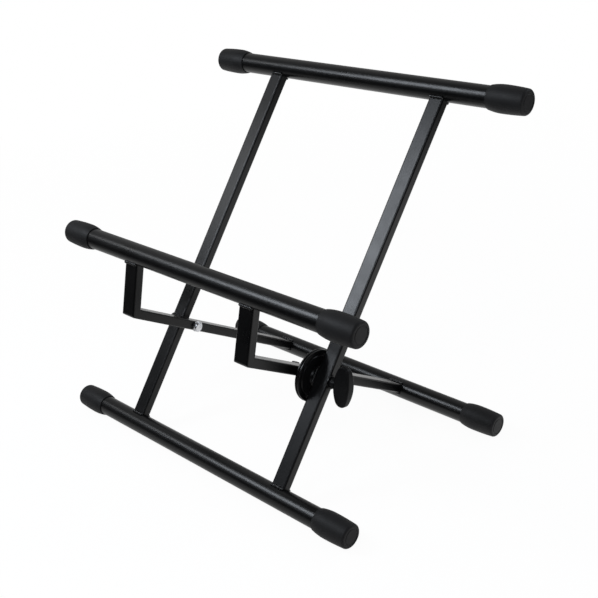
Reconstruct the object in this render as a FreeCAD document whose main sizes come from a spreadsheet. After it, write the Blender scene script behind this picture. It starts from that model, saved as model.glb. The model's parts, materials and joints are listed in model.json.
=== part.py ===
"""Folding tilt-back amplifier stand: two welded tube frames that cross at one pivot line.

Millimetres. +X runs along the bars towards the clutch, +Y to the rear and +Z up.
The origin is on the floor, midway between the legs and midway between the two floor bars.
"""
import FreeCAD
import Part
import Sketcher
import os

# Driving dimensions
DIMENSIONS = {
    # Round bars: the top, front foot and cradle bars are cut to one length, the rear foot bar shorter
    "tube_dia": 25.4,
    "tube_wall": 1.5,
    "bar_length": 474.0,
    "rear_bar_length": 451.0,
    # Rubber caps on the bar ends
    "cap_wall": 3.2,
    "cap_mouth_wall": 1.3,
    "cap_end_wall": 2.1,
    "cap_length": 47.5,
    "cap_web": 5.0,
    "cap_swell": 17.0,
    "cap_lip": 0.7,
    "cap_edge": 3.0,
    # Back frame
    "leg_length": 505.0,
    "leg_lean": 50.1,
    "leg_spacing": 258.0,
    "leg_width": 20.0,
    "leg_depth": 12.4,
    "leg_wall": 1.5,
    "leg_corner": 2.4,
    "pivot_along": 145.6,
    "foot_spread": 269.0,
    # Cradle frame
    "arm_width": 22.0,
    "arm_depth": 12.0,
    "arm_wall": 1.5,
    "arm_corner": 2.0,
    "arm_front": 103.0,
    "post_angle": 106.0,
    "post_length": 73.2,
    "corner_round": 4.0,
    "cradle_shift": 6.0,
    "rear_shift": 17.5,
    # Pivot bolts and what sits on them
    "bolt_dia": 8.0,
    "running_fit": 0.05,
    "free_fit": 0.2,
    "sleeve_wall": 1.3,
    "hex_flats": 13.0,
    "head_height": 5.3,
    "button_dia": 14.0,
    "button_height": 4.4,
    "button_face_dia": 7.0,
    "socket_flats": 5.0,
    "socket_depth": 2.6,
    "nut_hex_height": 3.8,
    "nut_cap_dia": 12.0,
    "nut_cap_height": 1.6,
    "nut_end_wall": 1.2,
    "washer_dia": 17.0,
    "washer_thickness": 1.6,
    "spacer_dia": 15.0,
    "spacer_thickness": 1.6,
    # Clutch between right arm and right leg
    "disc_dia": 64.0,
    "leg_disc_thickness": 4.1,
    "arm_disc_thickness": 8.8,
    "disc_edge": 0.8,
    "disc_rim": 3.2,
    "disc_rim_height": 2.4,
    "disc_groove": 3.2,
    "disc_floor": 1.2,
    "disc_step": 2.2,
    "disc_step_edge": 0.8,
    "disc_hub_dia": 22.0,
    "disc_hub_taper": 1.2,
    "ring_setback": 1.0,
    "ring_bore": 36.0,
    "ring_thickness": 1.0,
    "rivet_dia": 1.6,
    "rivet_head_dia": 2.6,
    "rivet_head_height": 1.0,
    "rivet_setback": 0.4,
    # Wing knob
    "knob_neck": 5.4,
    "neck_wall": 1.75,
    "neck_overlap": 1.5,
    "wing_length": 23.0,
    "wing_height": 49.5,
    "wing_thickness": 11.2,
    "wing_tip_thickness": 7.0,
    "wing_end_radius": 8.5,
    "wing_edge": 2.0,
    "knob_rest_turn": -13.0,
    "insert_wall": 0.75,
    "insert_length": 17.0,
    "thread_engaged": 15.0,
}
RIVET_COUNT = 4
RIVET_START_DEG = 39.0

doc = FreeCAD.newDocument("AmplifierStand")
sheet = doc.addObject("Spreadsheet::Sheet", "Dims")
for row, (alias, size) in enumerate(DIMENSIONS.items(), start=1):
    sheet.set(f"A{row}", alias)
    sheet.set(f"B{row}", str(size))
    sheet.setAlias(f"B{row}", alias)
doc.recompute()

# Derived places, all as expressions on the sheet
FLOOR_AXIS = "(Dims.tube_dia / 2 + Dims.cap_wall)"
FRONT_Y = "(-Dims.foot_spread / 2)"
REAR_Y = "(Dims.foot_spread / 2)"
TOP_Y = f"({FRONT_Y} + Dims.leg_length * cos(Dims.leg_lean))"
TOP_Z = f"({FLOOR_AXIS} + Dims.leg_length * sin(Dims.leg_lean))"
PIVOT_Y = f"({FRONT_Y} + Dims.pivot_along * cos(Dims.leg_lean))"
PIVOT_Z = f"({FLOOR_AXIS} + Dims.pivot_along * sin(Dims.leg_lean))"

# The rear bar stands on the floor, and that sets the slope of the arms
ARM_RUN = f"({REAR_Y} - {PIVOT_Y})"
ARM_DROP = f"({PIVOT_Z} - {FLOOR_AXIS})"
ARM_SLOPE = f"(atan({ARM_DROP} / {ARM_RUN}) / 1 deg)"
ARM_LENGTH = f"(Dims.arm_front + sqrt({ARM_RUN} ^ 2 + {ARM_DROP} ^ 2))"
POST_TILT = f"(Dims.post_angle - {ARM_SLOPE})"
CORNER_Y = f"({PIVOT_Y} - Dims.arm_front * cos({ARM_SLOPE}))"
CORNER_Z = f"({PIVOT_Z} + Dims.arm_front * sin({ARM_SLOPE}))"
CRADLE_Y = f"({CORNER_Y} + Dims.post_length * cos({POST_TILT}))"
CRADLE_Z = f"({CORNER_Z} + Dims.post_length * sin({POST_TILT}))"

# Stack of pieces along the pivot line
CLUTCH_STACK = "(Dims.leg_disc_thickness + Dims.ring_thickness + Dims.arm_disc_thickness)"
LEG_INNER = "(Dims.leg_spacing / 2 - Dims.leg_width / 2)"
LEG_OUTER = "(Dims.leg_spacing / 2 + Dims.leg_width / 2)"
RIGHT_ARM_OUTER = f"({LEG_INNER} - {CLUTCH_STACK})"
RIGHT_ARM_INNER = f"({RIGHT_ARM_OUTER} - Dims.arm_width)"
LEFT_ARM_OUTER = f"(-{LEG_INNER} + Dims.spacer_thickness)"
LEFT_ARM_INNER = f"({LEFT_ARM_OUTER} + Dims.arm_width)"
BORE_DIA = "(Dims.bolt_dia + 2 * Dims.running_fit)"
FREE_DIA = "(Dims.bolt_dia + 2 * Dims.free_fit)"
SLEEVE_DIA = "(Dims.bolt_dia + 2 * Dims.sleeve_wall)"
INSERT_DIA = "(Dims.bolt_dia + 2 * Dims.insert_wall)"
NUT_HEIGHT = "(Dims.nut_hex_height + Dims.nut_cap_height)"
NUT_DEPTH = f"({NUT_HEIGHT} - Dims.nut_end_wall)"
HEX_CORNER = "(Dims.hex_flats / 2 / cos(30))"

# The rivets stand in the middle of the disc's groove
RING_DIA = "(Dims.disc_dia - 2 * Dims.ring_setback)"
GROOVE_OUTER = "(Dims.disc_dia / 2 - Dims.disc_rim)"
GROOVE_INNER = f"({GROOVE_OUTER} - Dims.disc_groove)"
RIVET_CIRCLE = f"({GROOVE_OUTER} - Dims.disc_groove / 2)"

# How far the mitre of a cradle corner reaches along each tube
MITRE_REACH = "(Dims.arm_depth / tan(Dims.post_angle / 2))"


def value(expression):
    """The number that an expression on the sheet stands for."""
    number = sheet.evalExpression(str(expression))
    return float(getattr(number, "Value", number))


def place(obj, x, y, z, axis="1; 0; 0", angle="0"):
    """Bind an object's placement to expressions."""
    turn = f"rotation(vector({axis}); {angle})"
    obj.setExpression("Placement", f"placement(vector({x}; {y}; {z}); {turn})")


def new_body(name):
    body = doc.addObject("PartDesign::Body", name)
    body.Label = name
    return body


def new_sketch(body, name, role):
    """An empty sketch on one of the body's own origin planes."""
    sketch = body.newObject("Sketcher::SketchObject", name)
    plane = next(item for item in body.Origin.OriginFeatures if item.Role == role)
    sketch.AttachmentSupport = [(plane, "")]
    sketch.MapMode = "FlatFace"
    return sketch


def bind(sketch, constraint, expression):
    index = sketch.addConstraint(constraint)
    sketch.setExpression(f"Constraints[{index}]", str(expression))


def add_circle(sketch, x, y, diameter):
    centre = FreeCAD.Vector(value(x), value(y), 0)
    radius = f"({diameter}) / 2"
    edge = sketch.addGeometry(Part.Circle(centre, FreeCAD.Vector(0, 0, 1), value(radius)), False)
    bind(sketch, Sketcher.Constraint("DistanceX", -1, 1, edge, 3, centre.x), x)
    bind(sketch, Sketcher.Constraint("DistanceY", -1, 1, edge, 3, centre.y), y)
    bind(sketch, Sketcher.Constraint("Radius", edge, value(radius)), radius)


def arc_middle(start, end, centre_x):
    """A point on the short arc from start to end whose centre has the given x."""
    chord = end - start
    square = (end.dot(end) - start.dot(start)) / 2
    centre = FreeCAD.Vector(centre_x, (square - centre_x * chord.x) / chord.y, 0)
    outward = (start + end) * 0.5 - centre
    outward.normalize()
    return centre + outward * (start - centre).Length


def add_profile(sketch, points, arc_centres=None):
    """A closed outline. Side n runs from point n to the next one, straight or as an arc
    whose centre's x is given."""
    arc_centres = arc_centres or {}
    corners = [FreeCAD.Vector(value(x), value(y), 0) for x, y in points]
    ends = []
    for side, start in enumerate(corners):
        end = corners[(side + 1) % len(corners)]
        if side in arc_centres:
            centre_x = arc_centres[side]
            middle = arc_middle(start, end, value(centre_x))
            edge = sketch.addGeometry(Part.Arc(start, middle, end), False)
            bind(sketch, Sketcher.Constraint("DistanceX", -1, 1, edge, 3, value(centre_x)), centre_x)
        else:
            edge = sketch.addGeometry(Part.LineSegment(start, end), False)
        to_first = (sketch.getPoint(edge, 1) - start).Length
        to_second = (sketch.getPoint(edge, 2) - start).Length
        ends.append((edge, 1, 2) if to_first < to_second else (edge, 2, 1))
    for side, (edge, start_point, _) in enumerate(ends):
        last_edge, _, last_point = ends[side - 1]
        sketch.addConstraint(Sketcher.Constraint("Coincident", last_edge, last_point, edge, start_point))
        x, y = points[side]
        bind(sketch, Sketcher.Constraint("DistanceX", -1, 1, edge, start_point, corners[side].x), x)
        bind(sketch, Sketcher.Constraint("DistanceY", -1, 1, edge, start_point, corners[side].y), y)


def add_rounded_rectangle(sketch, width, height, radius):
    """A rectangle with round corners, centred on the sketch's origin."""
    half_width = f"({width}) / 2"
    half_height = f"({height}) / 2"
    inner_width = f"({half_width} - ({radius}))"
    inner_height = f"({half_height} - ({radius}))"
    points = [
        (f"-{inner_width}", f"-{half_height}"),
        (inner_width, f"-{half_height}"),
        (half_width, f"-{inner_height}"),
        (half_width, inner_height),
        (inner_width, half_height),
        (f"-{inner_width}", half_height),
        (f"-{half_width}", inner_height),
        (f"-{half_width}", f"-{inner_height}"),
    ]
    add_profile(sketch, points, {1: inner_width, 3: inner_width, 5: f"-{inner_width}", 7: f"-{inner_width}"})


def add_hexagon(sketch, flats):
    """A hexagon with one corner straight up, centred on the sketch's origin."""
    reach = f"({flats} / 2 / cos(30))"
    angles = [30 + 60 * number for number in range(6)]
    add_profile(sketch, [(f"{reach} * cos({angle})", f"{reach} * sin({angle})") for angle in angles])


def pad(body, name, sketch, length, midplane=False):
    feature = body.newObject("PartDesign::Pad", name)
    feature.Profile = sketch
    feature.setExpression("Length", str(length))
    feature.Midplane = midplane
    return feature


def blind_hole(body, name, sketch, depth):
    """Cut a sketch on the YZ plane into the body, along +X to a depth."""
    feature = body.newObject("PartDesign::Pocket", name)
    feature.Profile = sketch
    feature.setExpression("Length", depth)
    feature.Reversed = True
    return feature


def cut_across(body, name, sketch):
    """Cut a sketch on the YZ plane right through the body, to both sides."""
    feature = body.newObject("PartDesign::Pocket", name)
    feature.Profile = sketch
    feature.Type = "ThroughAll"
    feature.Midplane = True
    return feature


def revolve(body, name, sketch):
    feature = body.newObject("PartDesign::Revolution", name)
    feature.Profile = sketch
    feature.ReferenceAxis = (sketch, ["H_Axis"])
    feature.Angle = 360
    return feature


def collar(name, outer_dia, inner_dia, length, x, y, z):
    """A round tube, sleeve, washer or ring along +X, starting at x."""
    body = new_body(name)
    section = new_sketch(body, name + "_section", "YZ_Plane")
    add_circle(section, "0", "0", outer_dia)
    add_circle(section, "0", "0", inner_dia)
    pad(body, name + "_pad", section, length)
    place(body, x, y, z)
    return body


def box_tube(name, width, depth, wall, corner, start, length):
    """A rectangular tube with round corners along +Z."""
    body = new_body(name)
    section = new_sketch(body, name + "_section", "XY_Plane")
    add_rounded_rectangle(section, width, depth, corner)
    inner_width = f"({width} - 2 * {wall})"
    inner_depth = f"({depth} - 2 * {wall})"
    add_rounded_rectangle(section, inner_width, inner_depth, f"({corner} - {wall})")
    section.setExpression("AttachmentOffset.Base.z", start)
    pad(body, name + "_pad", section, length)
    return body


# Round bars and caps
def bar(name, length, shift, y, z):
    inner = "(Dims.tube_dia - 2 * Dims.tube_wall)"
    start = f"{shift} - {length} / 2"
    return collar(name, "Dims.tube_dia", inner, length, start, y, z)


def cap(name, side, length, shift, y, z):
    """A barrel-shaped cap pushed over a bar's end. Side is 1 on the right and -1 on the left."""
    body = new_body(name)
    outline = new_sketch(body, name + "_outline", "XY_Plane")
    mouth = "Dims.tube_dia / 2 + Dims.cap_mouth_wall"
    end = "Dims.tube_dia / 2 + Dims.cap_end_wall"
    edge_start = "Dims.cap_length - Dims.cap_edge"
    bore_end = "Dims.cap_length - Dims.cap_web"
    points = [
        ("0", "Dims.tube_dia / 2"),
        ("0", f"{mouth} - Dims.cap_lip"),
        ("Dims.cap_lip", mouth),
        ("Dims.cap_swell", FLOOR_AXIS),
        (edge_start, end),
        ("Dims.cap_length", f"{end} - Dims.cap_edge"),
        ("Dims.cap_length", "0"),
        (bore_end, "0"),
        (bore_end, "Dims.tube_dia / 2"),
    ]
    arcs = {1: "Dims.cap_lip", 2: "Dims.cap_swell", 3: "Dims.cap_swell", 4: edge_start}
    add_profile(outline, points, arcs)
    revolve(body, name + "_turned", outline)
    reach = f"({length} / 2 + Dims.cap_web - Dims.cap_length)"
    place(body, f"{shift} + {side} * {reach}", y, z, "0; 0; 1", 0 if side > 0 else 180)
    return body


# Legs, arms and posts
def leg(name, side):
    """A straight leg from the front foot bar's axis up to the top bar's axis, coped to both."""
    body = box_tube(name, "Dims.leg_width", "Dims.leg_depth", "Dims.leg_wall", "Dims.leg_corner",
                    "0", "Dims.leg_length")
    cuts = new_sketch(body, name + "_cuts", "YZ_Plane")
    add_circle(cuts, "0", "0", "Dims.tube_dia")
    add_circle(cuts, "0", "Dims.pivot_along", SLEEVE_DIA)
    add_circle(cuts, "0", "Dims.leg_length", "Dims.tube_dia")
    cut_across(body, name + "_coped", cuts)
    place(body, f"{side} * Dims.leg_spacing / 2", FRONT_Y, FLOOR_AXIS, angle="Dims.leg_lean - 90")
    return body


def add_mitre(sketch, inner_side):
    """The corner that the mitre takes off, drawn past the tube on every side."""
    inner = f"{inner_side} * Dims.arm_depth"
    outer = f"{-inner_side} * Dims.arm_depth"
    add_profile(sketch, [(inner, MITRE_REACH), (outer, f"-{MITRE_REACH}"), (inner, f"-{MITRE_REACH}")])


def round_corner(body, name, inner_side):
    """Round the mitre's outer edge, half of it on the arm and half on the post."""
    half_depth = f"({-inner_side} * Dims.arm_depth / 2)"
    inset = "(Dims.arm_depth / 2 - Dims.corner_round)"
    slant = f"sqrt(Dims.arm_depth ^ 2 + {MITRE_REACH} ^ 2)"
    centre_x = f"({-inner_side} * {inset})"
    centre_y = f"(-{MITRE_REACH} * {inset} / Dims.arm_depth)"
    meet_x = f"({centre_x} + {-inner_side} * Dims.corner_round * Dims.arm_depth / {slant})"
    meet_y = f"({centre_y} - Dims.corner_round * {MITRE_REACH} / {slant})"
    past_x = f"({-2 * inner_side} * Dims.arm_depth)"
    past_y = f"(-2 * {MITRE_REACH})"
    outside = new_sketch(body, name + "_corner", "YZ_Plane")
    points = [
        (half_depth, centre_y),
        (meet_x, meet_y),
        (meet_x, past_y),
        (past_x, past_y),
        (past_x, centre_y),
    ]
    add_profile(outside, points, {0: centre_x})
    cut_across(body, name + "_rounded", outside)


def cradle_tube(name, length):
    """A length of arm tube that starts at the mitred corner."""
    start = f"-{MITRE_REACH} / 2"
    whole = f"{length} + {MITRE_REACH} / 2"
    return box_tube(name, "Dims.arm_width", "Dims.arm_depth", "Dims.arm_wall", "Dims.arm_corner",
                    start, whole)


def arm(name, centre_x):
    """A long arm from the corner back to the rear foot bar's axis, coped to it."""
    body = cradle_tube(name, ARM_LENGTH)
    cuts = new_sketch(body, name + "_cuts", "YZ_Plane")
    add_mitre(cuts, -1)
    add_circle(cuts, "0", "Dims.arm_front", SLEEVE_DIA)
    add_circle(cuts, "0", ARM_LENGTH, "Dims.tube_dia")
    cut_across(body, name + "_coped", cuts)
    round_corner(body, name, -1)
    place(body, centre_x, CORNER_Y, CORNER_Z, angle=f"-90 - {ARM_SLOPE}")
    return body


def post(name, centre_x):
    """A short post from the corner up to the cradle bar's axis, coped to it."""
    body = cradle_tube(name, "Dims.post_length")
    cuts = new_sketch(body, name + "_cuts", "YZ_Plane")
    add_mitre(cuts, 1)
    add_circle(cuts, "0", "Dims.post_length", "Dims.tube_dia")
    cut_across(body, name + "_coped", cuts)
    round_corner(body, name, 1)
    place(body, centre_x, CORNER_Y, CORNER_Z, angle=f"{POST_TILT} - 90")
    return body


# Pivot fasteners
def solid_cylinder(name, diameter, length, x, y, z):
    """A cylinder along +X, starting at x."""
    obj = doc.addObject("Part::Cylinder", name)
    obj.setExpression("Radius", f"({diameter}) / 2")
    obj.setExpression("Height", str(length))
    place(obj, x, y, z, "0; 1; 0", "90")
    return obj


def solid_hexagon(name, length, x, y, z):
    """A hexagonal prism along +X, starting at x."""
    obj = doc.addObject("Part::Prism", name)
    obj.Polygon = 6
    obj.setExpression("Circumradius", HEX_CORNER)
    obj.setExpression("Height", str(length))
    place(obj, x, y, z, "0; 1; 0", "90")
    return obj


def fuse(name, base, tool):
    obj = doc.addObject("Part::Fuse", name)
    obj.Base = base
    obj.Tool = tool
    obj.Label = name
    return obj


def hex_bolt(name, seat_x, shank):
    """A bolt along +X on the pivot line, with a hexagon head before seat_x."""
    head_start = f"{seat_x} - Dims.head_height"
    head = solid_hexagon(name + "_head", "Dims.head_height", head_start, PIVOT_Y, PIVOT_Z)
    stem = solid_cylinder(name + "_stem", "Dims.bolt_dia", shank, seat_x, PIVOT_Y, PIVOT_Z)
    return fuse(name, head, stem)


def button_bolt(name, seat_x, shank):
    """A bolt along +X on the pivot line, with a low domed head before seat_x and a hexagon socket."""
    body = new_body(name)
    outline = new_sketch(body, name + "_outline", "XY_Plane")
    face = "Dims.button_face_dia / 2"
    end = f"Dims.button_height + {shank}"
    points = [
        ("0", "0"),
        ("0", face),
        ("Dims.button_height", "Dims.button_dia / 2"),
        ("Dims.button_height", "Dims.bolt_dia / 2"),
        (end, "Dims.bolt_dia / 2"),
        (end, "0"),
    ]
    add_profile(outline, points, {1: "Dims.button_height"})
    revolve(body, name + "_turned", outline)
    section = new_sketch(body, name + "_socket_section", "YZ_Plane")
    add_hexagon(section, "Dims.socket_flats")
    blind_hole(body, name + "_socket", section, "Dims.socket_depth")
    place(body, f"{seat_x} - Dims.button_height", PIVOT_Y, PIVOT_Z)
    return body


def cap_nut(name, seat_x):
    """A low closed nut along +X on the pivot line, hexagon first and round-edged cap last."""
    body = new_body(name)
    section = new_sketch(body, name + "_section", "YZ_Plane")
    add_hexagon(section, "Dims.hex_flats")
    pad(body, name + "_hexagon", section, "Dims.nut_hex_height")
    outline = new_sketch(body, name + "_outline", "XY_Plane")
    points = [
        ("Dims.nut_hex_height", "0"),
        ("Dims.nut_hex_height", "Dims.nut_cap_dia / 2"),
        (NUT_HEIGHT, "Dims.nut_cap_dia / 2 - Dims.nut_cap_height"),
        (NUT_HEIGHT, "0"),
    ]
    add_profile(outline, points, {1: "Dims.nut_hex_height"})
    revolve(body, name + "_cap", outline)
    thread = new_sketch(body, name + "_thread_section", "YZ_Plane")
    add_circle(thread, "0", "0", "Dims.bolt_dia")
    blind_hole(body, name + "_thread", thread, NUT_DEPTH)
    place(body, seat_x, PIVOT_Y, PIVOT_Z)
    return body


# Clutch
def rivet_places():
    """Rivet centres in a disc's own plane, evenly round the friction ring."""
    step = 360.0 / RIVET_COUNT
    angles = [RIVET_START_DEG + step * number for number in range(RIVET_COUNT)]
    return [(f"{RIVET_CIRCLE} * cos({angle})", f"{RIVET_CIRCLE} * sin({angle})") for angle in angles]


def drill_for_rivets(body, name):
    holes = new_sketch(body, name + "_rivet_holes", "YZ_Plane")
    for y, z in rivet_places():
        add_circle(holes, y, z, "Dims.rivet_dia")
    cut_across(body, name + "_drilled", holes)


def clutch_disc(name, x, turn, thickness, riveted):
    """A pressed disc: flat on the friction side, and on the side of its tube a rim, a groove, a
    raised step and a hub."""
    body = new_body(name)
    outline = new_sketch(body, name + "_outline", "XY_Plane")
    outer = "Dims.disc_dia / 2"
    edge = "Dims.disc_edge"
    edge_start = f"Dims.disc_rim_height - {edge}"
    hub = "Dims.disc_hub_dia / 2"
    bore = f"{FREE_DIA} / 2"
    points = [
        ("0", bore),
        ("0", f"{outer} - {edge}"),
        (edge, outer),
        (edge_start, outer),
        ("Dims.disc_rim_height", f"{outer} - {edge}"),
        ("Dims.disc_rim_height", GROOVE_OUTER),
        ("Dims.disc_floor", GROOVE_OUTER),
        ("Dims.disc_floor", GROOVE_INNER),
        ("Dims.disc_step - Dims.disc_step_edge", GROOVE_INNER),
        ("Dims.disc_step", f"{GROOVE_INNER} - Dims.disc_step_edge"),
        ("Dims.disc_step", f"{hub} + Dims.disc_hub_taper"),
        (thickness, hub),
        (thickness, bore),
    ]
    add_profile(outline, points, {1: edge, 3: edge_start})
    revolve(body, name + "_turned", outline)
    if riveted:
        drill_for_rivets(body, name)
    place(body, x, PIVOT_Y, PIVOT_Z, "0; 0; 1", turn)
    return body


def friction_ring(name, x):
    body = collar(name, RING_DIA, "Dims.ring_bore", "Dims.ring_thickness", x, PIVOT_Y, PIVOT_Z)
    drill_for_rivets(body, name)
    return body


def ring_rivets(name, ring_x):
    """Round-head rivets, heads in the groove and tails below the friction face, as one group."""
    tail_x = f"{ring_x} + Dims.rivet_setback"
    shank = "Dims.ring_thickness - Dims.rivet_setback + Dims.disc_floor"
    head_x = f"{ring_x} + Dims.ring_thickness + Dims.disc_floor"
    rivets = []
    for number, (y, z) in enumerate(rivet_places(), start=1):
        own = f"{name}_{number}"
        at_y = f"{PIVOT_Y} + {y}"
        at_z = f"{PIVOT_Z} + {z}"
        stem = solid_cylinder(own + "_stem", "Dims.rivet_dia", shank, tail_x, at_y, at_z)
        head = solid_cylinder(own + "_head", "Dims.rivet_head_dia", "Dims.rivet_head_height",
                              head_x, at_y, at_z)
        rivets.append(fuse(own, stem, head))
    group = doc.addObject("Part::Compound", name)
    group.Links = rivets
    group.Label = name
    return group


# Wing knob
def add_oval(sketch, half_width, half_height, end_radius, middle):
    """An oval of two side arcs and two end arcs that meet smoothly, centred on the sketch's x axis."""
    end_centre = f"({half_height} - {end_radius})"
    side_radius = (f"(({half_width} ^ 2 + {end_centre} ^ 2 - {end_radius} ^ 2)"
                   f" / (2 * ({half_width} - {end_radius})))")
    reach = f"({end_radius} / ({side_radius} - {end_radius}))"
    meet_x = f"({reach} * ({side_radius} - {half_width}))"
    meet_y = f"({end_centre} * (1 + {reach}))"
    right = f"({middle} + {meet_x})"
    left = f"({middle} - {meet_x})"
    points = [
        (right, f"-{meet_y}"),
        (right, meet_y),
        (middle, half_height),
        (left, meet_y),
        (left, f"-{meet_y}"),
        (middle, f"-{half_height}"),
    ]
    arcs = {side: middle for side in (1, 2, 4, 5)}
    arcs[0] = f"({middle} + {half_width} - {side_radius})"
    arcs[3] = f"({middle} - {half_width} + {side_radius})"
    add_profile(sketch, points, arcs)


def add_crown(sketch):
    """All that lies outside the wing's crowned cross-section, thick at the hub and thin at the tips."""
    half_height = "Dims.wing_height / 2"
    crown = "Dims.wing_thickness / 2"
    tip = "Dims.wing_tip_thickness / 2"
    past = "Dims.wing_height"
    rise = f"({crown} - {tip})"
    crown_radius = f"((({half_height}) ^ 2 + {rise} ^ 2) / (2 * {rise}))"
    points = [
        (tip, f"-{half_height}"),
        (tip, half_height),
        (f"-{tip}", half_height),
        (f"-{tip}", f"-{half_height}"),
    ]
    add_profile(sketch, points, {0: f"({crown} - {crown_radius})", 2: f"({crown_radius} - {crown})"})
    add_profile(sketch, [(past, f"-{past}"), (past, past), (f"-{past}", past), (f"-{past}", f"-{past}")])


def wing_knob(name, x):
    """A crowned oval wing on a round neck, with a blind hole for the threaded insert."""
    body = new_body(name)
    outline = new_sketch(body, name + "_outline", "XZ_Plane")
    middle = "(Dims.knob_neck + Dims.wing_length / 2)"
    add_oval(outline, "(Dims.wing_length / 2)", "(Dims.wing_height / 2)", "Dims.wing_end_radius", middle)
    pad(body, name + "_wing", outline, "Dims.wing_thickness", midplane=True)
    outside = new_sketch(body, name + "_outside", "YZ_Plane")
    add_crown(outside)
    wing = cut_across(body, name + "_crowned", outside)
    doc.recompute()
    tip_half = value("Dims.wing_tip_thickness / 2")
    rims = [f"Edge{number}" for number, edge in enumerate(wing.Shape.Edges, start=1)
            if abs(edge.CenterOfMass.y) > tip_half / 2]
    rounding = body.newObject("PartDesign::Fillet", name + "_rounding")
    rounding.Base = (wing, rims)
    rounding.setExpression("Radius", "Dims.wing_edge")
    section = new_sketch(body, name + "_neck_section", "YZ_Plane")
    add_circle(section, "0", "0", f"({INSERT_DIA} + 2 * Dims.neck_wall)")
    pad(body, name + "_neck", section, "Dims.knob_neck + Dims.neck_overlap")
    hole = new_sketch(body, name + "_hole_section", "YZ_Plane")
    add_circle(hole, "0", "0", INSERT_DIA)
    blind_hole(body, name + "_hole", hole, "Dims.insert_length")
    place(body, x, PIVOT_Y, PIVOT_Z, angle="Dims.knob_rest_turn")
    return body


# Build every sub-part
parts = []
bars = {
    "top": ("top_bar", "Dims.bar_length", "0", TOP_Y, TOP_Z),
    "front": ("front_foot_bar", "Dims.bar_length", "0", FRONT_Y, FLOOR_AXIS),
    "cradle": ("cradle_bar", "Dims.bar_length", "Dims.cradle_shift", CRADLE_Y, CRADLE_Z),
    "rear": ("rear_foot_bar", "Dims.rear_bar_length", "Dims.rear_shift", REAR_Y, FLOOR_AXIS),
}
for prefix, (bar_name, *bar_sizes) in bars.items():
    parts.append(bar(bar_name, *bar_sizes))
    parts.append(cap(f"{prefix}_cap_left", -1, *bar_sizes))
    parts.append(cap(f"{prefix}_cap_right", 1, *bar_sizes))

arm_starts = {"left": LEFT_ARM_OUTER, "right": RIGHT_ARM_INNER}
for side_name, side_sign in (("left", -1), ("right", 1)):
    arm_start = arm_starts[side_name]
    arm_centre = f"{arm_start} + Dims.arm_width / 2"
    leg_start = f"{side_sign} * Dims.leg_spacing / 2 - Dims.leg_width / 2"
    parts.append(leg(f"{side_name}_leg", side_sign))
    parts.append(arm(f"{side_name}_arm", arm_centre))
    parts.append(post(f"{side_name}_post", arm_centre))
    parts.append(collar(f"leg_sleeve_{side_name}", SLEEVE_DIA, BORE_DIA, "Dims.leg_width",
                        leg_start, PIVOT_Y, PIVOT_Z))
    parts.append(collar(f"arm_sleeve_{side_name}", SLEEVE_DIA, BORE_DIA, "Dims.arm_width",
                        arm_start, PIVOT_Y, PIVOT_Z))

# Left pivot: bolt head outside the leg, closed nut inside the arm
left_shank = f"({LEFT_ARM_INNER} + {LEG_OUTER} + {NUT_DEPTH} - Dims.free_fit)"
parts.append(button_bolt("pivot_bolt", f"-{LEG_OUTER}", left_shank))
parts.append(collar("pivot_spacer", "Dims.spacer_dia", BORE_DIA, "Dims.spacer_thickness",
                    f"-{LEG_INNER}", PIVOT_Y, PIVOT_Z))
parts.append(cap_nut("pivot_nut", LEFT_ARM_INNER))

# Right pivot: clutch between arm and leg, on a bolt that the knob draws tight
ring_start = f"({RIGHT_ARM_OUTER} + Dims.arm_disc_thickness)"
leg_disc_start = f"({LEG_INNER} - Dims.leg_disc_thickness)"
knob_start = f"({LEG_OUTER} + Dims.washer_thickness)"
right_shank = f"{knob_start} - {RIGHT_ARM_INNER} + Dims.thread_engaged"
parts.append(hex_bolt("clutch_bolt", RIGHT_ARM_INNER, right_shank))
parts.append(clutch_disc("arm_clutch_disc", ring_start, "180", "Dims.arm_disc_thickness", riveted=False))
parts.append(friction_ring("friction_ring", ring_start))
parts.append(clutch_disc("leg_clutch_disc", leg_disc_start, "0", "Dims.leg_disc_thickness", riveted=True))
parts.append(ring_rivets("clutch_rivets", ring_start))
parts.append(collar("knob_washer", "Dims.washer_dia", BORE_DIA, "Dims.washer_thickness",
                    LEG_OUTER, PIVOT_Y, PIVOT_Z))
parts.append(wing_knob("wing_knob", knob_start))
parts.append(collar("knob_insert", INSERT_DIA, BORE_DIA, "Dims.insert_length",
                    knob_start, PIVOT_Y, PIVOT_Z))
doc.recompute()

# Every object is sound, and every cut takes material off
for obj in doc.Objects:
    if "Invalid" in obj.State or "Error" in obj.State:
        raise RuntimeError(f"{obj.Name} failed: {obj.State}")
    if obj.TypeId == "PartDesign::Pocket" and obj.Shape.Volume > obj.BaseFeature.Shape.Volume - 1:
        raise RuntimeError(f"{obj.Name} cuts nothing")
for piece in parts:
    solids = len(piece.Shape.Solids)
    if piece.Shape.isNull() or not piece.Shape.isValid():
        raise RuntimeError(f"{piece.Label} has no valid shape")
    if solids != (RIVET_COUNT if piece.Label == "clutch_rivets" else 1):
        raise RuntimeError(f"{piece.Label} has {solids} solids")

os.makedirs("parts", exist_ok=True)
for piece in parts:
    piece.Shape.exportStep(f"parts/{piece.Label}.step")
print(f"{len(parts)} parts written")
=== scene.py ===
"""Looks of a folding tilt-back amplifier stand: powder-coated tubes, rubber caps, welds, clutch, wing knob.

Metres, in the frame's axes: +X along the bars towards the clutch, +Y to the rear and +Z up.
"""
import bmesh
import bpy
import json
import math
from mathutils import Matrix, Vector


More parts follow.
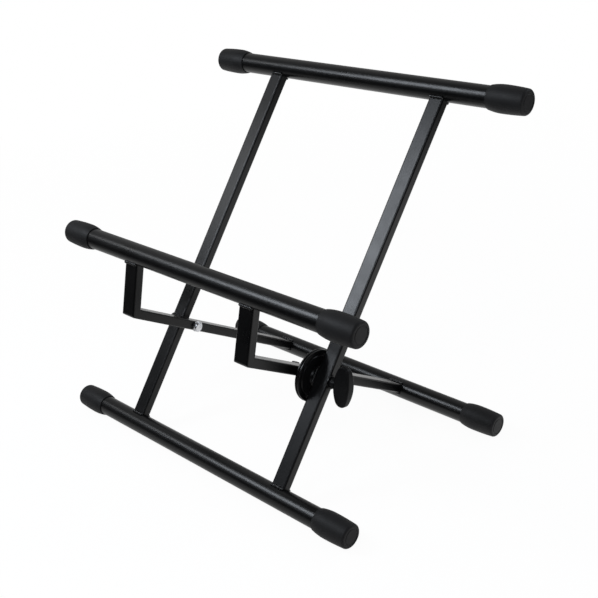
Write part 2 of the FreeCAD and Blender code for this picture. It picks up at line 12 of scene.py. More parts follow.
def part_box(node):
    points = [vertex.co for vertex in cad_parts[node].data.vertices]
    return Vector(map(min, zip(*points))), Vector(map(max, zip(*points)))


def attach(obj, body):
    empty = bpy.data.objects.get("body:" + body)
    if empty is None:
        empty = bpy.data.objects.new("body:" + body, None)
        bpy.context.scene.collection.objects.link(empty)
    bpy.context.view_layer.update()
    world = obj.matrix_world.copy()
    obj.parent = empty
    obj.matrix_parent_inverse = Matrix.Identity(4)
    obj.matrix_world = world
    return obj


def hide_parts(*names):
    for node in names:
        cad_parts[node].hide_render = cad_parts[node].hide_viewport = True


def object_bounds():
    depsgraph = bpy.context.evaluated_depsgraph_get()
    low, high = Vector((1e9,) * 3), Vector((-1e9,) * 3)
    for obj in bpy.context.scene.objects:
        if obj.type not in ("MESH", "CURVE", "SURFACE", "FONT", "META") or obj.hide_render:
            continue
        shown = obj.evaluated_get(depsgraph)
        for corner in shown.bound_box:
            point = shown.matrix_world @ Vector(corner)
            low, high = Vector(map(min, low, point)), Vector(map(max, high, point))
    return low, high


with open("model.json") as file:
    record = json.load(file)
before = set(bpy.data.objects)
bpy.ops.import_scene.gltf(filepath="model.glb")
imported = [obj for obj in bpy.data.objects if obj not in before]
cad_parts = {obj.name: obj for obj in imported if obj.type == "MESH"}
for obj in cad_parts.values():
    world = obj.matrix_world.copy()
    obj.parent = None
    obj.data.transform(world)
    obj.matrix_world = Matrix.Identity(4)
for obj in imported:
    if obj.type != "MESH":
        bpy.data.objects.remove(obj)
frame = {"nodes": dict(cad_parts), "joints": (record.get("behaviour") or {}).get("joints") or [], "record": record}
cad_low, cad_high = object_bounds()

MM = 0.001
X_WAY = Vector((1.0, 0.0, 0.0))

# Camera, as solved from the photograph
IMAGE_SIDE = 598
SENSOR_WIDTH = 36.0
FOCAL_PIXELS = 977.8
OPTICAL_CENTRE = (277.3, 346.9)
CAMERA_PLACE = Vector((0.8038, -0.7274, 0.7109))
CAMERA_AZIMUTH = 47.51
CAMERA_ELEVATION = 29.07
CAMERA_ROLL = -6.0

# Tube sections
LEG_WIDTH = 20.0 * MM
LEG_DEPTH = 12.4 * MM
ARM_WIDTH = 22.0 * MM
ARM_DEPTH = 12.0 * MM
ARM_FRONT = 103.0 * MM

# Rubber caps
CAP_LENGTH = 47.5 * MM
CAP_WEB = 5.0 * MM
CAP_SWELL = 17.0 * MM
CAP_LIP = 0.7 * MM
CAP_EDGE = 3.0 * MM
CAP_WALL = 3.2 * MM
CAP_MOUTH_WALL = 1.3 * MM
CAP_END_WALL = 2.1 * MM
CAP_RING_RADIUS = 9.6 * MM
CAP_RING_WIDTH = 1.0 * MM
CAP_RING_DEPTH = 0.4 * MM

# Turned shapes
TURN_STEPS = 96
ARC_STEPS = 10
SHARP_EDGE = math.radians(28)

# Bolts and nut
BOLT_RADIUS = 4.0 * MM
BOLT_POINT = 0.8 * MM
HEX_FLATS = 13.0 * MM
HEX_ROUND = 6.2 * MM
HEX_BEVEL = math.tan(math.radians(30))
HEAD_HEIGHT = 5.3 * MM
BUTTON_RADIUS = 7.0 * MM
BUTTON_HEIGHT = 4.4 * MM
BUTTON_FACE_RADIUS = 3.5 * MM
SOCKET_FLATS = 5.0 * MM
SOCKET_DEPTH = 2.6 * MM
NUT_HEX_HEIGHT = 3.8 * MM
NUT_CAP_RADIUS = 6.0 * MM
NUT_CAP_HEIGHT = 1.6 * MM
NUT_END_WALL = 1.2 * MM
THREAD_PITCH = 1.25 * MM
THREAD_DEPTH = 0.65 * MM
THREAD_LENGTH = 26.0 * MM
THREAD_RINGS_A_TURN = 10

# Clutch rivets
RIVET_COUNT = 4
RIVET_START = math.radians(39)
RIVET_CIRCLE = 27.2 * MM
RIVET_HEAD_RADIUS = 1.3 * MM
RIVET_HEAD_HEIGHT = RIVET_HEAD_RADIUS * 0.75
RIVET_STEM_RADIUS = 0.8 * MM
RIVET_STEPS = 24

# Weld beads, which stand a little out of the corners that they fill
SEAM_RADIUS = 2.0 * MM
SEAM_STAND = 0.8 * MM
DROP_LENGTH = 1.6 * MM
DROP_STEP = 1.5 * MM
DROP_LEAST = 0.75
DROP_MOST = 1.2
DROP_SEGMENTS = 10
DROP_RINGS = 6
HALF_HUB_SEAM = 8.0 * MM
SEAM_SEED = 7

# Grain of the finishes: most of the patches' noise lies between the low and the high value
GRAIN_DETAIL = 3.0
GRAIN_ROUGHNESS = 0.55
PATCH_LOW = 0.3
PATCH_HIGH = 0.7


# Places worked out from the frame
def middle(node):
    """The middle of a CAD node's box."""
    low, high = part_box(node)
    return (low + high) / 2


def extent(node):
    """The sides of a CAD node's box."""
    low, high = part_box(node)
    return high - low


def sideways(vector):
    """The part of a vector that is square to the bars, at unit length."""
    return Vector((0.0, vector.y, vector.z)).normalized()


joints = {joint["name"]: joint for joint in frame["joints"]}
pivot = Vector(joints["fold"]["pos_m"])
bar_radius = extent("top_bar").z / 2
top_axis = middle("top_bar")
front_axis = middle("front_foot_bar")
cradle_axis = middle("cradle_bar")
rear_axis = middle("rear_foot_bar")
leg_way = sideways(top_axis - front_axis)
arm_way = sideways(rear_axis - pivot)
corner = pivot - arm_way * ARM_FRONT
post_way = sideways(cradle_axis - corner)


# Shader helpers
def add_node(tree, kind, **settings):
    """A new node with its own settings, apart from its sockets."""
    node = tree.nodes.new(kind)
    for name, setting in settings.items():
        setattr(node, name, setting)
    return node


def input_named(node, name):
    """The input socket of that name that is in use."""
    return next(socket for socket in node.inputs if socket.name == name and socket.enabled)


def set_inputs(node, **settings):
    """Give input sockets their values, with _ for each space in a socket's name."""
    for name, setting in settings.items():
        input_named(node, name.replace("_", " ")).default_value = setting


def skin_grain_group():
    """Fine grain for a bump and broad patches for colour and gloss, in the piece's own coordinates."""
    group = bpy.data.node_groups.new("skin_grain", "ShaderNodeTree")
    sockets = group.interface
    sockets.new_socket("Grain Size", in_out="INPUT", socket_type="NodeSocketFloat")
    sockets.new_socket("Patch Size", in_out="INPUT", socket_type="NodeSocketFloat")
    sockets.new_socket("Grain", in_out="OUTPUT", socket_type="NodeSocketFloat")
    sockets.new_socket("Patches", in_out="OUTPUT", socket_type="NodeSocketFloat")
    entry = add_node(group, "NodeGroupInput")
    leave = add_node(group, "NodeGroupOutput")
    place = add_node(group, "ShaderNodeTexCoord")
    for size, out in (("Grain Size", "Grain"), ("Patch Size", "Patches")):
        scale = add_node(group, "ShaderNodeMath", operation="DIVIDE")
        scale.inputs[0].default_value = 1.0
        noise = add_node(group, "ShaderNodeTexNoise")
        set_inputs(noise, Detail=GRAIN_DETAIL, Roughness=GRAIN_ROUGHNESS)
        group.links.new(entry.outputs[size], scale.inputs[1])
        group.links.new(place.outputs["Object"], noise.inputs["Vector"])
        group.links.new(scale.outputs[0], noise.inputs["Scale"])
        group.links.new(noise.outputs["Fac"], leave.inputs[out])
    return group


skin_grain = skin_grain_group()


def grained_finish(name, dark, light, gloss, grain_size, patch_size, bump, bump_depth, specular,
                   metallic=0.0):
    """A finish with two near tones, a range of roughness and a fine bump.

    Gloss is the pair of roughness values that the patches run between.
    """
    finish = bpy.data.materials.new(name)
    finish.use_nodes = True
    tree = finish.node_tree
    shader = tree.nodes["Principled BSDF"]
    set_inputs(shader, Specular_IOR_Level=specular, Metallic=metallic)
    grain = add_node(tree, "ShaderNodeGroup", node_tree=skin_grain)
    set_inputs(grain, Grain_Size=grain_size, Patch_Size=patch_size)
    tones = add_node(tree, "ShaderNodeMix", data_type="RGBA")
    set_inputs(tones, A=(*dark, 1.0), B=(*light, 1.0))
    sheen = add_node(tree, "ShaderNodeMapRange")
    set_inputs(sheen, From_Min=PATCH_LOW, From_Max=PATCH_HIGH, To_Min=gloss[0], To_Max=gloss[1])
    relief = add_node(tree, "ShaderNodeBump")
    set_inputs(relief, Strength=bump, Distance=bump_depth)
    tree.links.new(grain.outputs["Patches"], input_named(tones, "Factor"))
    tree.links.new(tones.outputs["Result"], shader.inputs["Base Color"])
    tree.links.new(grain.outputs["Patches"], sheen.inputs["Value"])
    tree.links.new(sheen.outputs["Result"], shader.inputs["Roughness"])
    tree.links.new(grain.outputs["Grain"], relief.inputs["Height"])
    tree.links.new(relief.outputs["Normal"], shader.inputs["Normal"])
    return finish


# Finishes
powder_coat = grained_finish(
    "powder_coat", dark=(0.001, 0.001, 0.0012), light=(0.002, 0.002, 0.0023), gloss=(0.27, 0.33),
    grain_size=1.4 * MM, patch_size=30 * MM, bump=0.02, bump_depth=0.02 * MM, specular=0.3)
weld_coat = grained_finish(
    "weld_coat", dark=(0.002, 0.002, 0.0023), light=(0.004, 0.004, 0.0044), gloss=(0.10, 0.16),
    grain_size=1.4 * MM, patch_size=30 * MM, bump=0.02, bump_depth=0.02 * MM, specular=0.5)
moulded_rubber = grained_finish(
    "moulded_rubber", dark=(0.006, 0.006, 0.0065), light=(0.009, 0.009, 0.0095), gloss=(0.50, 0.60),
    grain_size=0.5 * MM, patch_size=14 * MM, bump=0.5, bump_depth=0.06 * MM, specular=0.2)
grained_plastic = grained_finish(
    "grained_plastic", dark=(0.003, 0.003, 0.0035), light=(0.005, 0.005, 0.0055), gloss=(0.40, 0.50),
    grain_size=0.35 * MM, patch_size=9 * MM, bump=0.5, bump_depth=0.05 * MM, specular=0.15)
zinc_plate = grained_finish(
    "zinc_plate", dark=(0.62, 0.63, 0.66), light=(0.74, 0.75, 0.77), gloss=(0.22, 0.36),
    grain_size=0.3 * MM, patch_size=3 * MM, bump=0.2, bump_depth=0.02 * MM, specular=0.5, metallic=1.0)
black_oxide = grained_finish(
    "black_oxide", dark=(0.008, 0.008, 0.009), light=(0.014, 0.014, 0.015), gloss=(0.30, 0.42),
    grain_size=0.3 * MM, patch_size=3 * MM, bump=0.2, bump_depth=0.02 * MM, specular=0.4)
turned_steel = grained_finish(
    "turned_steel", dark=(0.34, 0.34, 0.35), light=(0.45, 0.45, 0.46), gloss=(0.35, 0.50),
    grain_size=0.3 * MM, patch_size=4 * MM, bump=0.3, bump_depth=0.02 * MM, specular=0.5, metallic=1.0)
black_nylon = grained_finish(
    "black_nylon", dark=(0.008, 0.008, 0.008), light=(0.012, 0.012, 0.012), gloss=(0.45, 0.55),
    grain_size=0.6 * MM, patch_size=5 * MM, bump=0.2, bump_depth=0.03 * MM, specular=0.3)
pressed_fibre = grained_finish(
    "pressed_fibre", dark=(0.006, 0.005, 0.005), light=(0.012, 0.010, 0.009), gloss=(0.80, 0.95),
    grain_size=0.5 * MM, patch_size=2 * MM, bump=0.8, bump_depth=0.1 * MM, specular=0.1)
turned_brass = grained_finish(
    "turned_brass", dark=(0.60, 0.42, 0.16), light=(0.70, 0.52, 0.22), gloss=(0.30, 0.42),
    grain_size=0.3 * MM, patch_size=4 * MM, bump=0.2, bump_depth=0.02 * MM, specular=0.5, metallic=1.0)
finishes = {
    "black_coat": powder_coat,
    "cap_rubber": moulded_rubber,
    "knob_plastic": grained_plastic,
    "bright_zinc": zinc_plate,
    "black_oxide": black_oxide,
    "bare_steel": turned_steel,
    "spacer_nylon": black_nylon,
    "friction_fibre": pressed_fibre,
    "insert_brass": turned_brass,
}
for subpart in frame["record"]["subparts"]:
    node_mesh = frame["nodes"][subpart["node"]].data
    node_mesh.materials.clear()
    node_mesh.materials.append(finishes[subpart["material_slot"]])


# Pieces
def add_piece(name, mesh, slot, body, *nodes):
    """Put a finished mesh in the scene, on its body and in place of the CAD nodes named."""
    piece = bpy.data.objects.new(name, mesh)
    bpy.context.scene.collection.objects.link(piece)
    if not mesh.materials:
        mesh.materials.append(finishes[slot])
    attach(piece, body)
    if nodes:
        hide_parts(*nodes)
    return piece


def ring_points(ring):
    """A ring is an (along, radius) pair, or a function that gives the pair for an angle."""
    angles = [2 * math.pi * step / TURN_STEPS for step in range(TURN_STEPS)]
    pairs = [ring(angle) if callable(ring) else ring for angle in angles]
    if not callable(ring) and ring[1] == 0:
        return [Vector((ring[0], 0.0, 0.0))]
    return [Vector((along, radius * math.cos(angle), radius * math.sin(angle)))
            for angle, (along, radius) in zip(angles, pairs)]


def turned_mesh(name, rings, place, way):
    """A shape of rings round an axis that starts at a place and runs along +X or, with a way of -1, -X.

    A ring of no radius is a pole, and a shape starts and ends at one.
    """
    build = bmesh.new()
    loops = [[build.verts.new(point) for point in ring_points(ring)] for ring in rings]
    for first, second in zip(loops, loops[1:]):
        for step in range(TURN_STEPS):
            following = (step + 1) % TURN_STEPS
            if len(first) == 1:
                build.faces.new((first[0], second[step], second[following]))
            elif len(second) == 1:
                build.faces.new((first[step], first[following], second[0]))
            else:
                build.faces.new((first[step], first[following], second[following], second[step]))
    bmesh.ops.recalc_face_normals(build, faces=build.faces)
    for face in build.faces:
        face.smooth = True
    for edge in build.edges:
        edge.smooth = edge.calc_face_angle(0.0) < SHARP_EDGE
    turn = Matrix.Identity(4) if way > 0 else Matrix.Rotation(math.pi, 4, "Z")
    build.transform(Matrix.Translation(place) @ turn)
    mesh = bpy.data.meshes.new(name)
    build.to_mesh(mesh)
    build.free()
    return mesh


def arc(start, end, centre_along):
    """Pairs along the arc from start to end whose centre has the given place along the axis."""
    (start_along, start_radius), (end_along, end_radius) = start, end
    square = end_along ** 2 + end_radius ** 2 - start_along ** 2 - start_radius ** 2
    centre_radius = (square / 2 - centre_along * (end_along - start_along)) / (end_radius - start_radius)
    first = math.atan2(start_radius - centre_radius, start_along - centre_along)
    last = math.atan2(end_radius - centre_radius, end_along - centre_along)
    size = math.hypot(start_radius - centre_radius, start_along - centre_along)
    angles = [first + (last - first) * step / ARC_STEPS for step in range(ARC_STEPS + 1)]
    return [(centre_along + size * math.cos(angle), centre_radius + size * math.sin(angle))
            for angle in angles]


# Rubber caps
def cap_rings():
    """From the pole of the end face, over the barrel to the mouth, and back down the bore."""
    end_radius = bar_radius + CAP_END_WALL
    mouth_radius = bar_radius + CAP_MOUTH_WALL
    edge_start = CAP_LENGTH - CAP_EDGE
    bore_end = CAP_LENGTH - CAP_WEB
    ring_floor = CAP_LENGTH - CAP_RING_DEPTH
    half_ring = CAP_RING_WIDTH / 2
    swell = (CAP_SWELL, bar_radius + CAP_WALL)
    face_edge = (CAP_LENGTH, end_radius - CAP_EDGE)
    rings = [
        (CAP_LENGTH, 0),
        (CAP_LENGTH, CAP_RING_RADIUS - CAP_RING_WIDTH),
        (ring_floor, CAP_RING_RADIUS - half_ring),
        (ring_floor, CAP_RING_RADIUS + half_ring),
        (CAP_LENGTH, CAP_RING_RADIUS + CAP_RING_WIDTH),
    ]
    rings += arc(face_edge, (edge_start, end_radius), edge_start)
    rings += arc((edge_start, end_radius), swell, CAP_SWELL)[1:]
    rings += arc(swell, (CAP_LIP, mouth_radius), CAP_SWELL)[1:]
    rings += arc((CAP_LIP, mouth_radius), (0, mouth_radius - CAP_LIP), CAP_LIP)[1:]
    rings += [(0, bar_radius), (bore_end, bar_radius), (bore_end, 0)]
    return rings


cap_profile = cap_rings()
cap_bodies = {"top": "back_frame", "front": "back_frame", "cradle": "cradle", "rear": "cradle"}
for bar_name, cap_body in cap_bodies.items():
    for side_name, side in (("left", -1), ("right", 1)):
        cap_node = f"{bar_name}_cap_{side_name}"
        cap_place = middle(cap_node) - X_WAY * side * CAP_LENGTH / 2
        cap_mesh = turned_mesh(f"rubber_{cap_node}", cap_profile, cap_place, side)
        add_piece(f"rubber_{cap_node}", cap_mesh, "cap_rubber", cap_body, cap_node)


# Bolts and nut
def hex_radius(angle, flats):
    """How far a hexagon's side is from its middle, with two corners up and down."""
    sixth = math.pi / 3
    from_flat = (angle + sixth / 2) % sixth - sixth / 2
    return flats / 2 / math.cos(from_flat)


def hexagon(along, flats):
    """A ring with six flat sides."""
    return lambda angle: (along, hex_radius(angle, flats))


def bevelled_hexagon(along, way):
    """The ring where the hexagon's sides meet the turned bevel that starts at a flat end."""
    def ring(angle):
        radius = hex_radius(angle, HEX_FLATS)
        return along + way * (radius - HEX_ROUND) * HEX_BEVEL, radius
    return ring


def thread_ring(along, fullness):
    """One ring of a helical thread, full at 1 and worn down to its root at 0."""
    def ring(angle):
        lead = along / THREAD_PITCH - angle / (2 * math.pi)
        tooth = abs(2 * (lead % 1.0) - 1)
        return along, BOLT_RADIUS - THREAD_DEPTH * (1 - tooth * fullness)
    return ring


def hex_head():
    """A hexagon head from its bevelled face to its seat."""
    return [(0, 0), (0, HEX_ROUND), bevelled_hexagon(0, 1), hexagon(HEAD_HEIGHT, HEX_FLATS),
            (HEAD_HEIGHT, BOLT_RADIUS)]


def button_head():
    """A domed head from the floor of its hexagon socket to its seat."""
    socket = [(SOCKET_DEPTH, 0), hexagon(SOCKET_DEPTH, SOCKET_FLATS), hexagon(0, SOCKET_FLATS)]
    dome = arc((0, BUTTON_FACE_RADIUS), (BUTTON_HEIGHT, BUTTON_RADIUS), BUTTON_HEIGHT)
    return socket + dome + [(BUTTON_HEIGHT, BOLT_RADIUS)]


def bolt_rings(head, length):
    """A head, then the stem, its thread and its point."""
    thread_start = length - THREAD_LENGTH
    rings = head + [(thread_start, BOLT_RADIUS)]
    count = round(THREAD_LENGTH / THREAD_PITCH * THREAD_RINGS_A_TURN)
    for number in range(1, count):
        along = thread_start + THREAD_LENGTH * number / count
        fullness = min(1.0, (length - along) / BOLT_POINT)
        rings.append(thread_ring(along, fullness))
    root = BOLT_RADIUS - THREAD_DEPTH
    return rings + [(length, root), (length, 0)]


def nut_rings():
    """A closed nut from the bottom of its bore: seat, bevelled hexagon and round-edged cap."""
    height = NUT_HEX_HEIGHT + NUT_CAP_HEIGHT
    depth = height - NUT_END_WALL
    rings = [
        (depth, 0),
        (depth, BOLT_RADIUS),
        (0, BOLT_RADIUS),
        (0, HEX_ROUND),
        bevelled_hexagon(0, 1),
        bevelled_hexagon(NUT_HEX_HEIGHT, -1),
        (NUT_HEX_HEIGHT, HEX_ROUND),
    ]
    cap_edge = (height, NUT_CAP_RADIUS - NUT_CAP_HEIGHT)
    rings += arc((NUT_HEX_HEIGHT, NUT_CAP_RADIUS), cap_edge, NUT_HEX_HEIGHT)
    return rings + [(height, 0)]


def on_pivot(x):
    """The point of the pivot line at a place along the bars."""
    return Vector((x, pivot.y, pivot.z))


for bolt_name, bolt_head in (("pivot_bolt", button_head()), ("clutch_bolt", hex_head())):
    bolt_place = on_pivot(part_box(bolt_name)[0].x)
    bolt_profile = bolt_rings(bolt_head, extent(bolt_name).x)
    bolt_mesh = turned_mesh(f"threaded_{bolt_name}", bolt_profile, bolt_place, 1)
    add_piece(f"threaded_{bolt_name}", bolt_mesh, "black_oxide", "cradle", bolt_name)
nut_place = on_pivot(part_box("pivot_nut")[0].x)
nut_mesh = turned_mesh("closed_nut", nut_rings(), nut_place, 1)
add_piece("closed_nut", nut_mesh, "bright_zinc", "cradle", "pivot_nut")


# Geometry Nodes helpers
def new_tree(name, **inputs):
    """A Geometry Nodes tree with named inputs of the kinds given, and the inputs' identifiers."""
    tree = bpy.data.node_groups.new(name, "GeometryNodeTree")
    tree.interface.new_socket("Geometry", in_out="INPUT", socket_type="NodeSocketGeometry")
    identifiers = {}
    for label, kind in inputs.items():
        spaced = label.replace("_", " ")
        socket = tree.interface.new_socket(spaced, in_out="INPUT", socket_type="NodeSocket" + kind)
        identifiers[label] = socket.identifier
    tree.interface.new_socket("Geometry", in_out="OUTPUT", socket_type="NodeSocketGeometry")
    return tree, identifiers


def finish_tree(tree, entry, instances):
    """Make the instances real, smooth and finished, and put them out."""
    real = add_node(tree, "GeometryNodeRealizeInstances")
    smooth = add_node(tree, "GeometryNodeSetShadeSmooth")
    paint = add_node(tree, "GeometryNodeSetMaterial")
    leave = add_node(tree, "NodeGroupOutput")
    tree.links.new(instances, real.inputs["Geometry"])
    tree.links.new(real.outputs["Geometry"], smooth.inputs["Geometry"])
    tree.links.new(smooth.outputs["Geometry"], paint.inputs["Geometry"])
    tree.links.new(entry.outputs["Finish"], paint.inputs["Material"])
    tree.links.new(paint.outputs["Geometry"], leave.inputs["Geometry"])


def weld_tree():
    """Overlapping drops of weld along every edge of the carrier mesh."""
    tree, identifiers = new_tree("weld_drops", Drop_Radius="Float", Drop_Length="Float", Drop_Step="Float",
                                 Seed="Int", Finish="Material")
    entry = add_node(tree, "NodeGroupInput")
    path = add_node(tree, "GeometryNodeMeshToCurve")
    places = add_node(tree, "GeometryNodeResampleCurve", mode="LENGTH")
    drop = add_node(tree, "GeometryNodeMeshUVSphere")
    set_inputs(drop, Segments=DROP_SEGMENTS, Rings=DROP_RINGS, Radius=1.0)
    tangent = add_node(tree, "GeometryNodeInputTangent")
    turn = add_node(tree, "FunctionNodeAlignRotationToVector", axis="X")
    vary = add_node(tree, "FunctionNodeRandomValue", data_type="FLOAT")
    set_inputs(vary, Min=DROP_LEAST, Max=DROP_MOST)
    radius = add_node(tree, "ShaderNodeMath", operation="MULTIPLY")
    size = add_node(tree, "ShaderNodeCombineXYZ")
    spread = add_node(tree, "GeometryNodeInstanceOnPoints")
    tree.links.new(entry.outputs["Geometry"], path.inputs["Mesh"])
    tree.links.new(path.outputs["Curve"], places.inputs["Curve"])
    tree.links.new(entry.outputs["Drop Step"], input_named(places, "Length"))
    tree.links.new(places.outputs["Curve"], spread.inputs["Points"])
    tree.links.new(drop.outputs["Mesh"], spread.inputs["Instance"])
    tree.links.new(tangent.outputs["Tangent"], turn.inputs["Vector"])
    tree.links.new(turn.outputs["Rotation"], spread.inputs["Rotation"])
    tree.links.new(entry.outputs["Seed"], input_named(vary, "Seed"))
    tree.links.new(entry.outputs["Drop Radius"], radius.inputs[0])
    tree.links.new(next(out for out in vary.outputs if out.enabled), radius.inputs[1])
    tree.links.new(entry.outputs["Drop Length"], size.inputs["X"])
    tree.links.new(radius.outputs[0], size.inputs["Y"])
    tree.links.new(radius.outputs[0], size.inputs["Z"])
    tree.links.new(size.outputs[0], spread.inputs["Scale"])
    finish_tree(tree, entry, spread.outputs["Instances"])
    return tree, identifiers


def rivet_tree():
    """A domed rivet on every point of the carrier mesh, its stem along -X."""
    tree, identifiers = new_tree("rivets", Head_Radius="Float", Head_Height="Float", Stem_Radius="Float",
                                 Stem_Length="Float", Finish="Material")
    entry = add_node(tree, "NodeGroupInput")
    ball = add_node(tree, "GeometryNodeMeshUVSphere")
    set_inputs(ball, Segments=RIVET_STEPS, Rings=RIVET_STEPS // 2, Radius=1.0)
    head_size = add_node(tree, "ShaderNodeCombineXYZ")
    head = add_node(tree, "GeometryNodeTransform")
    rod = add_node(tree, "GeometryNodeMeshCylinder")
    set_inputs(rod, Vertices=RIVET_STEPS)
    half = add_node(tree, "ShaderNodeMath", operation="MULTIPLY")
    half.inputs[1].default_value = -0.5
    rod_place = add_node(tree, "ShaderNodeCombineXYZ")
    stem = add_node(tree, "GeometryNodeTransform")
    stem.inputs["Rotation"].default_value = (0.0, math.pi / 2, 0.0)
    join = add_node(tree, "GeometryNodeJoinGeometry")
    spread = add_node(tree, "GeometryNodeInstanceOnPoints")
    tree.links.new(entry.outputs["Head Height"], head_size.inputs["X"])
    tree.links.new(entry.outputs["Head Radius"], head_size.inputs["Y"])
    tree.links.new(entry.outputs["Head Radius"], head_size.inputs["Z"])
    tree.links.new(ball.outputs["Mesh"], head.inputs["Geometry"])
    tree.links.new(head_size.outputs[0], head.inputs["Scale"])
    tree.links.new(entry.outputs["Stem Radius"], rod.inputs["Radius"])
    tree.links.new(entry.outputs["Stem Length"], rod.inputs["Depth"])
    tree.links.new(entry.outputs["Stem Length"], half.inputs[0])
    tree.links.new(half.outputs[0], rod_place.inputs["X"])
    tree.links.new(rod.outputs["Mesh"], stem.inputs["Geometry"])
    tree.links.new(rod_place.outputs[0], stem.inputs["Translation"])
    tree.links.new(head.outputs["Geometry"], join.inputs["Geometry"])
    tree.links.new(stem.outputs["Geometry"], join.inputs["Geometry"])
    tree.links.new(entry.outputs["Geometry"], spread.inputs["Points"])
    tree.links.new(join.outputs["Geometry"], spread.inputs["Instance"])
    finish_tree(tree, entry, spread.outputs["Instances"])
    return tree, identifiers


def grown_mesh(name, carrier, tree, identifiers, **settings):
    """The plain mesh that a Geometry Nodes tree grows on a carrier mesh."""
    holder = bpy.data.objects.new(name + "_carrier", carrier)
    bpy.context.scene.collection.objects.link(holder)
    grow = holder.modifiers.new(name, "NODES")
    grow.node_group = tree
    for setting, value in settings.items():
        grow[identifiers[setting]] = value
    seen = holder.evaluated_get(bpy.context.evaluated_depsgraph_get())
    mesh = bpy.data.meshes.new_from_object(seen)
    mesh.name = name
    bpy.data.objects.remove(holder)
    return mesh


# Welds
def seam_mesh(name, seams):
    """A mesh with one edge for each seam, from its start to its end."""
    points = [tuple(point) for seam in seams for point in seam]
    mesh = bpy.data.meshes.new(name)
    mesh.from_pydata(points, [(first, first + 1) for first in range(0, len(points), 2)], [])
    return mesh


def seam_pair(seat, half_run, half_gap):
    """Two equal seams side by side, one on each side of a seat."""
    return [(seat + edge * half_gap - half_run, seat + edge * half_gap + half_run) for edge in (-1, 1)]


def tube_seams(bar_axis, x, along, width, depth):
    """Welds across the broad faces of a box tube that runs along a way from a round bar's axis."""
    deep = depth / 2 + SEAM_STAND
    rise = math.sqrt((bar_radius + SEAM_STAND) ** 2 - deep ** 2)
    seat = Vector((x, bar_axis.y, bar_axis.z)) + along * rise
    return seam_pair(seat, X_WAY * (width / 2 - SEAM_RADIUS), X_WAY.cross(along) * deep)


def hub_seams(x, tube_way, depth):
    """Short welds where a clutch disc's hub stands out past its tube."""
    half_gap = X_WAY.cross(tube_way) * (depth / 2 + SEAM_STAND)
    return seam_pair(on_pivot(x), tube_way * HALF_HUB_SEAM, half_gap)


back_seams = hub_seams(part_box("leg_clutch_disc")[1].x, leg_way, LEG_DEPTH)
cradle_seams = hub_seams(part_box("arm_clutch_disc")[0].x, arm_way, ARM_DEPTH)
for side_name in ("left", "right"):
    leg_x = middle(f"{side_name}_leg").x
    arm_x = middle(f"{side_name}_arm").x
    back_seams += tube_seams(top_axis, leg_x, -leg_way, LEG_WIDTH, LEG_DEPTH)
    back_seams += tube_seams(front_axis, leg_x, leg_way, LEG_WIDTH, LEG_DEPTH)
    cradle_seams += tube_seams(rear_axis, arm_x, -arm_way, ARM_WIDTH, ARM_DEPTH)
    cradle_seams += tube_seams(cradle_axis, arm_x, -post_way, ARM_WIDTH, ARM_DEPTH)
drops, drop_inputs = weld_tree()
welds = {"back_frame_welds": (back_seams, "back_frame"), "cradle_welds": (cradle_seams, "cradle")}
for weld_name, (seams, weld_body) in welds.items():
    weld_mesh = grown_mesh(weld_name, seam_mesh(weld_name + "_seams", seams), drops, drop_inputs,
                           Drop_Radius=SEAM_RADIUS, Drop_Length=DROP_LENGTH, Drop_Step=DROP_STEP,
                           Seed=SEAM_SEED, Finish=weld_coat)
    add_piece(weld_name, weld_mesh, "black_coat", weld_body)

# Clutch rivets, their heads on the floor of the groove
rivet_low, rivet_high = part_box("clutch_rivets")
rivet_floor = rivet_high.x - RIVET_HEAD_HEIGHT
rivet_angles = [RIVET_START + 2 * math.pi * number / RIVET_COUNT for number in range(RIVET_COUNT)]
rivet_points = [on_pivot(rivet_floor) + Vector((0.0, math.cos(angle), math.sin(angle))) * RIVET_CIRCLE
                for angle in rivet_angles]
rivet_path = bpy.data.meshes.new("rivet_path")
rivet_path.from_pydata([tuple(point) for point in rivet_points], [], [])
rivets, rivet_inputs = rivet_tree()
rivet_mesh = grown_mesh("domed_rivets", rivet_path, rivets, rivet_inputs, Head_Radius=RIVET_HEAD_RADIUS,
                        Head_Height=RIVET_HEAD_HEIGHT, Stem_Radius=RIVET_STEM_RADIUS,
                        Stem_Length=rivet_floor - rivet_low.x, Finish=powder_coat)
add_piece("domed_rivets", rivet_mesh, "black_coat", "back_frame", "clutch_rivets")

# Stage: the glooms and the sweep's level are what mirrored rays see
WHITE = (1.0, 1.0, 1.0)
DAYLIGHT = (0.86, 0.92, 1.0)
AMBIENT = 0.5
FRONT_GLOOM = 0.03
REAR_GLOOM = 0.12
SWEEP_LEVEL = 0.45
SWEEP_WAY = Vector((-0.737, 0.676, 0.0))
SWEEP_FADE = (0.1, 0.6)
FLOOR_REACH = 6.0
FLOOR_FRONT_FADE = (-0.65, 0.15)
FLOOR_REAR_FADE = (0.75, 1.15)
FLOOR_SHADOW_FADE = (0.4, 1.6)
FLOOR_GLOW_NEAR = 0.95


def seen_plainly(tree):
    """Two values: one is 1 for rays from the camera and through glass, the other for mirrored rays."""
    path = add_node(tree, "ShaderNodeLightPath")
    plain = add_node(tree, "ShaderNodeMath", operation="MAXIMUM")
    tree.links.new(path.outputs["Is Camera Ray"], plain.inputs[0])
    tree.links.new(path.outputs["Is Transmission Ray"], plain.inputs[1])
    return plain.outputs[0], path.outputs["Is Glossy Ray"]


def faded(tree, value, span, start_level, end_level):
    """A level that runs from the start level to the end level while a value crosses a span."""
    fade = add_node(tree, "ShaderNodeMapRange")
    set_inputs(fade, From_Min=span[0], From_Max=span[1], To_Min=start_level, To_Max=end_level)
    tree.links.new(value, fade.inputs["Value"])
    return fade.outputs["Result"]


